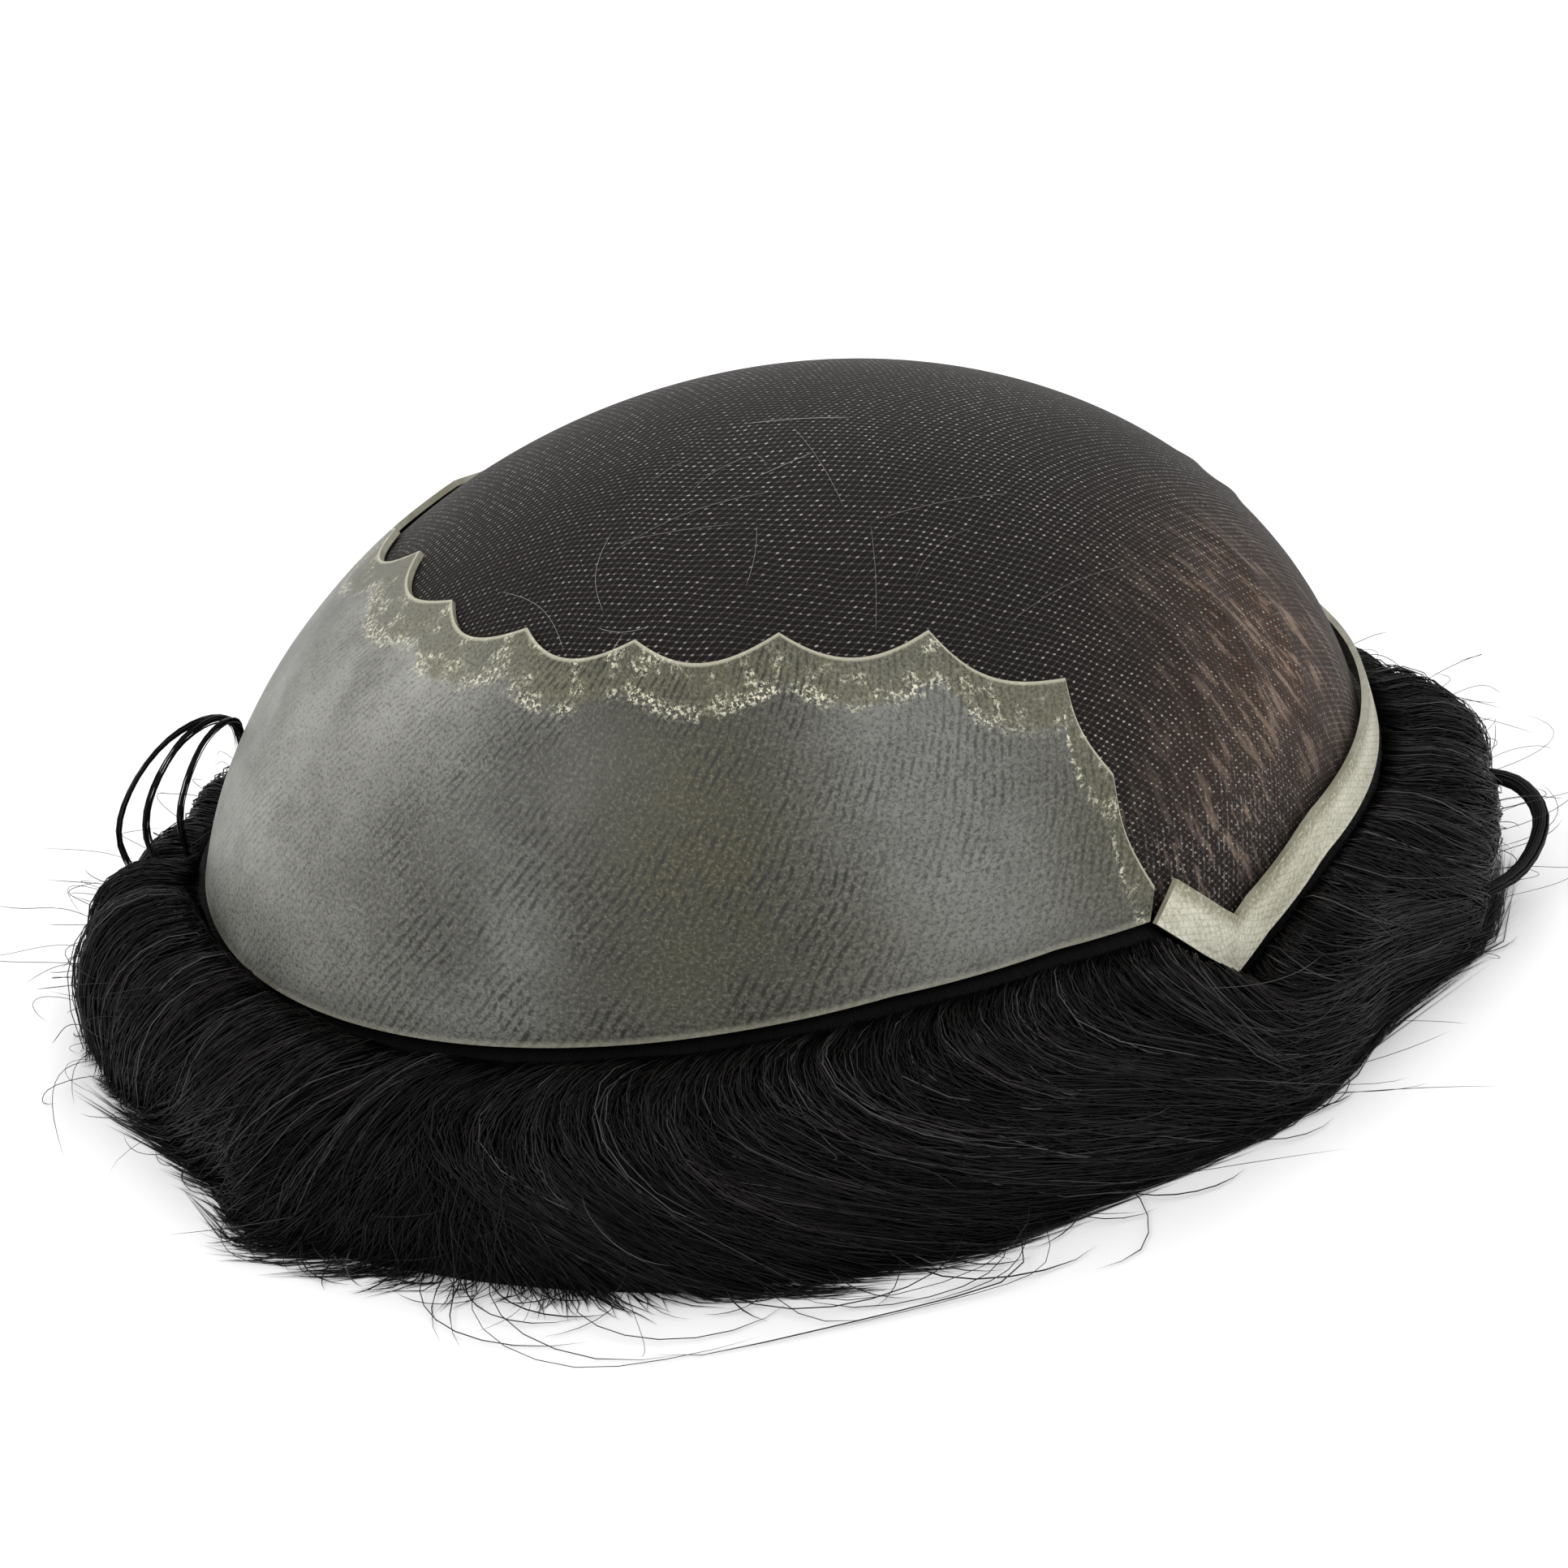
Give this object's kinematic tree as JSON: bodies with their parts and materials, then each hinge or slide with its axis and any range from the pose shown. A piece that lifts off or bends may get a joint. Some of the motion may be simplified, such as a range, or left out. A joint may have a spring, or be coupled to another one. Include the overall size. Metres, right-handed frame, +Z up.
{
  "type": "toupee hairpiece",
  "caption": "Toupee hairpiece turned inside out: lace dome, scalloped skin panel round back and sides, front hairline strip, short dark hair spread below.",
  "frame": {"origin": "middle of the whole piece's box, on the surface that it lies on", "axes": "+X to the front hairline, +Z up out of the scalp side, +Y across"},
  "size_m": [0.2386, 0.1754, 0.09],
  "materials": {
    "lace": "fine dark net of knotted threads, slightly shiny knots",
    "skin": "thin translucent grey polyurethane film with rows of hair roots under it, satin",
    "strip": "cream translucent film over fine net, satin",
    "hair": "fine straight black hair, soft gloss along the strands"
  },
  "bodies": {
    "root": {"lace_cap": "lace", "skin_panel": "skin", "front_strip": "strip", "hair_front": "hair", "hair_left": "hair", "hair_right": "hair", "hair_back": "hair"}
  },
  "joints": []
}
